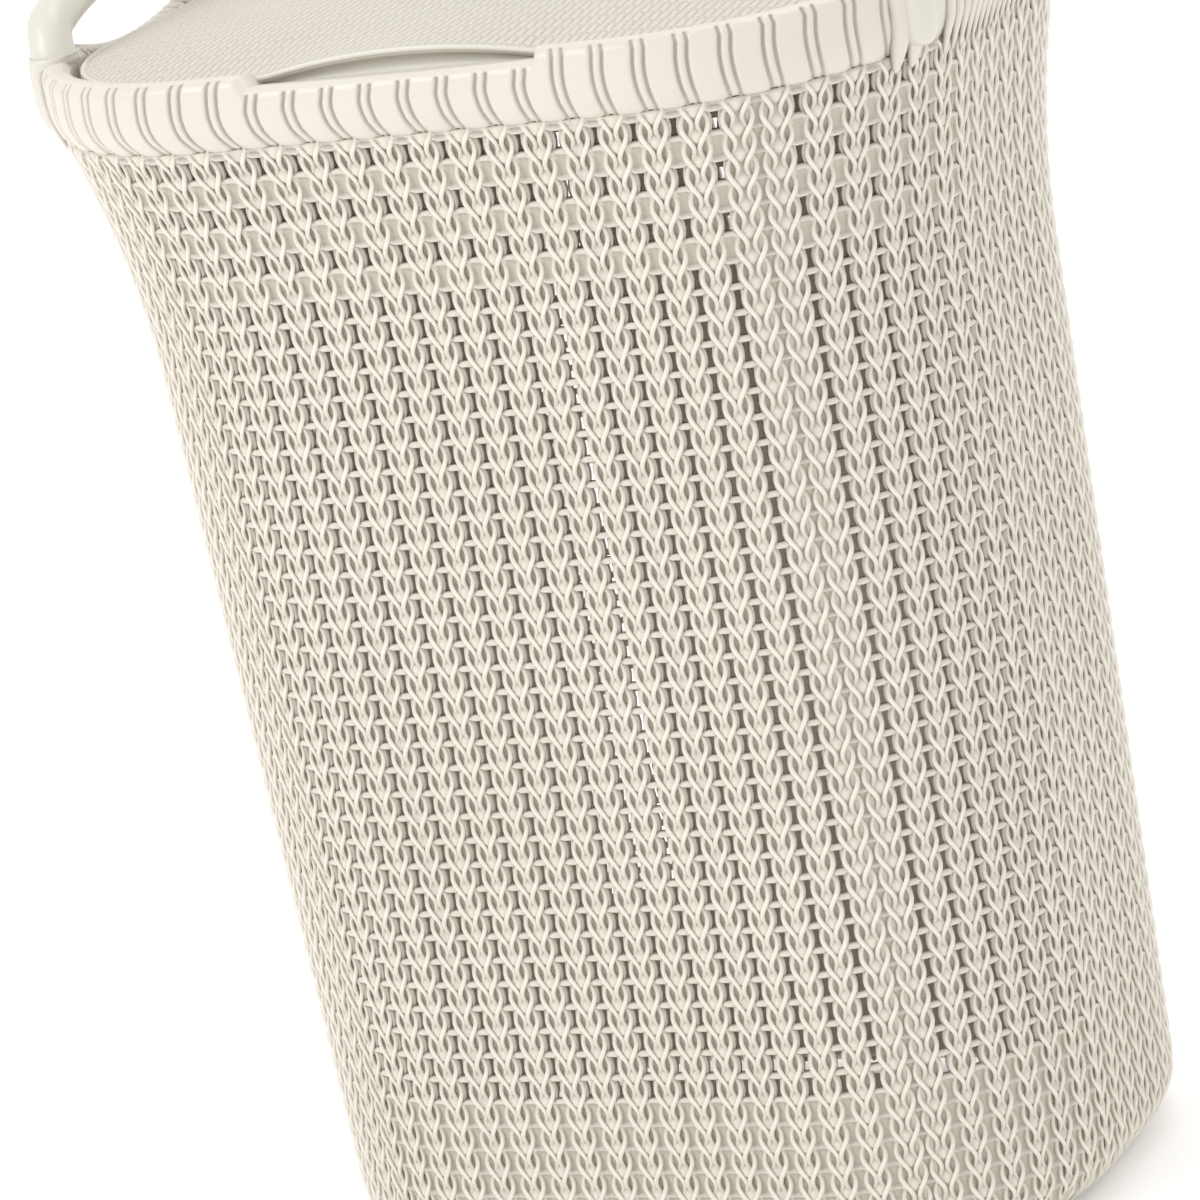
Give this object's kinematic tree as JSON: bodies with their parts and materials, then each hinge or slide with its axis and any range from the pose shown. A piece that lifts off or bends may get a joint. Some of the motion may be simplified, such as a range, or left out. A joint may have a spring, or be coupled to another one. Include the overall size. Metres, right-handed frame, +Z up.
{
  "type": "laundry hamper with lid",
  "caption": "Tall laundry hamper with a perforated knit-look plastic tub, a domed lid hinged at the rear with a finger lip, and arched carrying grips on the short sides.",
  "frame": {"origin": "middle of the underside, on the ground", "axes": "+Z up, the front with the finger notch faces -Y, the grips are on the -X and +X sides, the hinge is at +Y"},
  "size_m": [0.439, 0.3182, 0.59],
  "materials": {
    "knit_plastic": "satin moulded polypropylene with a knit relief",
    "rim_plastic": "smooth semi-gloss moulded polypropylene",
    "grip_plastic": "smooth semi-gloss moulded polypropylene",
    "lid_plastic": "fine knit texture, satin"
  },
  "bodies": {
    "tub": {"tub_wall": "knit_plastic", "tub_floor": "knit_plastic", "tub_rim": "rim_plastic", "sleeve_left_front": "rim_plastic", "sleeve_left_rear": "rim_plastic", "sleeve_right_front": "rim_plastic", "sleeve_right_rear": "rim_plastic", "grip_left": "grip_plastic", "grip_right": "grip_plastic", "hinge_bar_left": "rim_plastic", "hinge_bar_right": "rim_plastic"},
    "lid": {"lid_panel": "lid_plastic", "lid_border": "rim_plastic", "lid_lip": "rim_plastic", "hinge_clip_left": "rim_plastic", "hinge_clip_right": "rim_plastic"}
  },
  "joints": [
    {"name": "lid_hinge", "type": "hinge", "parent": "tub", "child": "lid", "pos_m": [0, 0.15308, 0.552], "axis": [-1, 0, 0], "range_deg": [0, 105]}
  ]
}
